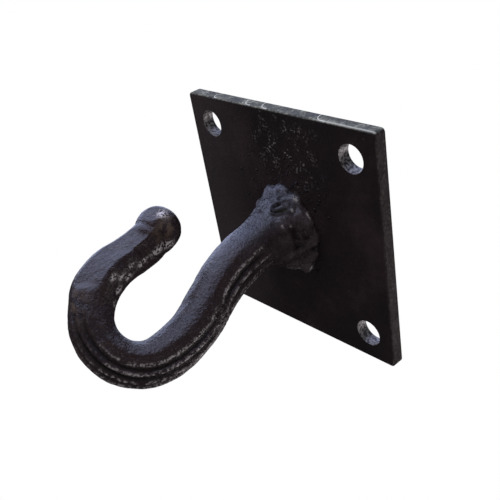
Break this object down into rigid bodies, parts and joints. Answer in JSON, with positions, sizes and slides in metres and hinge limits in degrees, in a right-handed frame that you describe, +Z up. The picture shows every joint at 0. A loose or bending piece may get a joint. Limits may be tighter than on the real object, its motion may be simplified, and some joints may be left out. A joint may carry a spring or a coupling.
{
  "type": "ceiling hook",
  "caption": "Ceiling hook: a ribbed swan-neck bar with a ball tip, welded to a square plate with a screw hole near each corner.",
  "frame": {"origin": "centre of the plate's upper face, which lies against the ceiling", "axes": "+Z up into the ceiling; the plate's sides run along X and Y; the hook hangs down -Z and bends in the upright plane through the plate's diagonal, with its ball tip towards -X and -Y"},
  "size_m": [0.075, 0.075, 0.0803],
  "materials": {
    "plate_black": "black lacquer over rolled steel plate, worn bare along the edges",
    "hook_black": "glossy black lacquer over hammered forged iron",
    "weld_black": "black lacquer over rough weld metal"
  },
  "bodies": {
    "root": {"mounting_plate": "plate_black", "hook": "hook_black", "weld_bead": "weld_black"}
  },
  "joints": []
}
